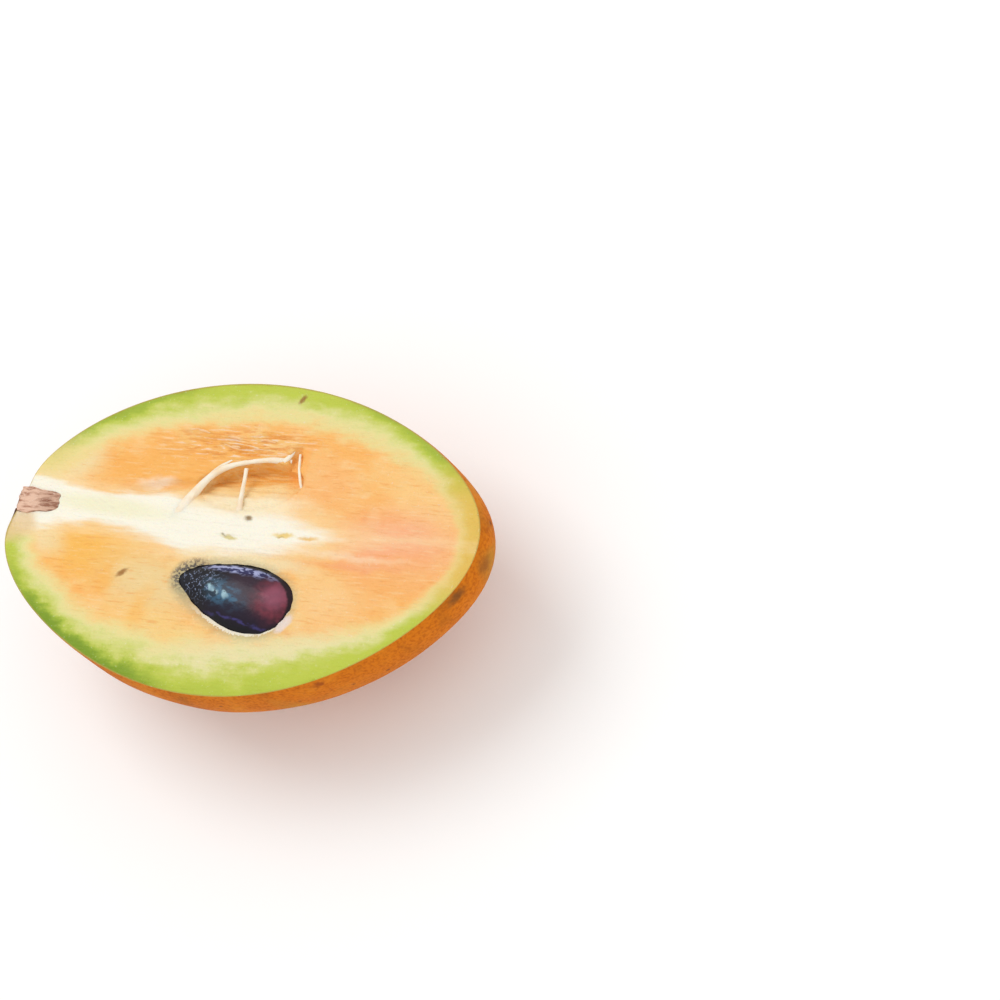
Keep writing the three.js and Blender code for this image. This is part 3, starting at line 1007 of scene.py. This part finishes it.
# Painted shade: the coat turns near black within a third of a millimetre of its edge, where it sinks into
# the flesh.
edge_shade = 1 - coat.step(coat.attribute("from_edge") + (fine - 0.5) * 0.4, 0.0, 0.36)
coat.paint("#06040c", edge_shade * 0.9)
narrow_end = coat.patch((-5.4, -7.6), 3.0, 3.0, edge=0.5, place=wander)
coat.paint("#090a18", narrow_end * 0.85)
# Painted glints: a net of small pale flecks of reflected light at the narrow end.
net_cells = {"Vector": coat.shaken(0.6, 0.8), "Scale": 1 / 0.85}
net = coat.node("ShaderNodeTexVoronoi", {"feature": "DISTANCE_TO_EDGE"}, net_cells, out="Distance")
glint_net_area = coat.patch((-3.4, -7.8), 3.8, 2.6, turn=-22, edge=0.6, place=wander)
painted_glint_net = (1 - coat.step(net, 0.03, 0.1)) * glint_net_area * coat.step(fine, 0.47, 0.58)
coat.paint("#8d99b8", painted_glint_net * coat.step(wet, 0.4, 0.5) * 0.8)
coat.set(
    Base_Color=coat.colour,
    Roughness=0.26 + fine * 0.2,
    Normal=coat.bump(coat.noise(1.3, detail=3) + glint_net_area * fine * 0.6, 0.12),
    Specular_IOR_Level=0.2,
    Coat_Weight=0.1,
    Coat_Roughness=0.08,
)
seed.data.materials.append(coat.material)
print("seed coat:", len(coat.tree.nodes), "nodes")

# %% [markdown]
# ## Dry stalk
#
# The cut stub is tan and pinkish with dark lengthwise fibres, darkest where it ends in the core. The
# sepals are a darker brown.

# %% Stalk and sepals
cork = Finish("dry_stalk", "#efc5aa")
fibres = cork.noise(0.45, detail=4, stretch=(4, 1, 1))
pores = cork.noise(0.3, detail=3)
cork.paint("#ac7358", cork.step(fibres, 0.46, 0.72))
dark_end = cork.patch((-32.8, 3.0), 2.4, 2.4, edge=0.7, place=cork.shaken(1.6, 1.0))
cork.paint("#8f5a40", dark_end * (0.35 + cork.step(fibres, 0.4, 0.58) * 0.5))
cork.paint("#f6dccb", cork.step(pores, 0.58, 0.74) * 0.6)
cork.set(Base_Color=cork.colour, Roughness=0.8, Normal=cork.bump(fibres + pores, 0.2))
stub.data.materials.append(cork.material)

dry = Finish("dry_sepal", "#7a4a2a")
veins = dry.noise(0.6, detail=4)
dry.paint("#4b2c22", dry.step(veins, 0.4, 0.65))
dry.paint("#a0703c", dry.step(dry.noise(1.6, shift=9), 0.5, 0.7) * 0.6)
dry.set(Base_Color=dry.colour, Roughness=0.75, Normal=dry.bump(veins, 0.2))
for blade in sepals:
    blade.data.materials.append(dry.material)

# %% [markdown]
# ## Putting the pieces together
#
# The strands join the fruit half and the sepals join the stub, because they have grown in one. Edges that
# are sharper than a set angle stay sharp and everything else is shaded smooth. The knife's cut through
# the stalk is the face with the most corners. It stays flat, or the round bark beside it would cast a
# false shade on it.

# %% Join and shade


def join(main, others):
    pick(main, *others)
    bpy.ops.object.join()


def shade(piece, angle):
    pick(piece)
    bpy.ops.object.shade_smooth_by_angle(angle=math.radians(angle))


join(fruit_half, strings + threads)
join(stub, sepals)
stub.name = "sapodilla_stalk_and_calyx"
for piece, angle, node, slot in (
    (fruit_half, 50, "fruit_half", "skin_and_flesh"),
    (seed, 60, "seed", "seed_coat"),
    (stub, 45, "stem_and_calyx", "dry_bark"),
):
    shade(piece, angle)
    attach(piece, "root")
    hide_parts(node)
    triangles = sum(len(face.vertices) - 2 for face in piece.data.polygons)
    print(piece.name, triangles, "triangles")

knife_cut = max(stub.data.polygons, key=lambda face: len(face.vertices))
knife_cut.use_smooth = False
print("the knife's cut through the stalk has", len(knife_cut.vertices), "corners")

# %% [markdown]
# ## Floor and light
#
# A wide sheet of paper and a white sky give soft light from all sides. One large lamp from the upper left
# models the relief, and a weaker one from the right opens the shadow on the skin.

# %% Floor
bpy.ops.mesh.primitive_plane_add(size=30)
floor = bpy.context.object
floor.name = "floor"
paper = Finish("pale_paper")
paper.set(Base_Color=(0.95, 0.95, 0.94, 1.0), Roughness=0.9)
floor.data.materials.append(paper.material)

# %% Light
world = bpy.data.worlds.new("white sky")
bpy.context.scene.world = world
world.use_nodes = True
world.node_tree.nodes["Background"].inputs["Color"].default_value = (1, 1, 1, 1)
world.node_tree.nodes["Background"].inputs["Strength"].default_value = 0.74 * LIGHT_SURPLUS


def lamp(name, right, up, near, size, power):
    """A square lamp, placed in millimetres as seen from the camera and aimed at the cut face."""
    at = FACE_CENTRE + (camera_right * right + camera_up * up + towards_camera * near) * MM
    bpy.ops.object.light_add(type="AREA", location=at)
    light = bpy.context.object
    light.name = name
    light.rotation_euler = (at - FACE_CENTRE).to_track_quat("Z", "Y").to_euler()
    light.data.size = size * MM
    light.data.energy = power * LIGHT_SURPLUS
    return light


lamp("window", -420, 420, 360, 420, 1.5)
lamp("reflector", 380, -160, 300, 420, 0.5)

scene = bpy.context.scene
scene.view_settings.view_transform = "Standard"
scene.view_settings.look = "None"
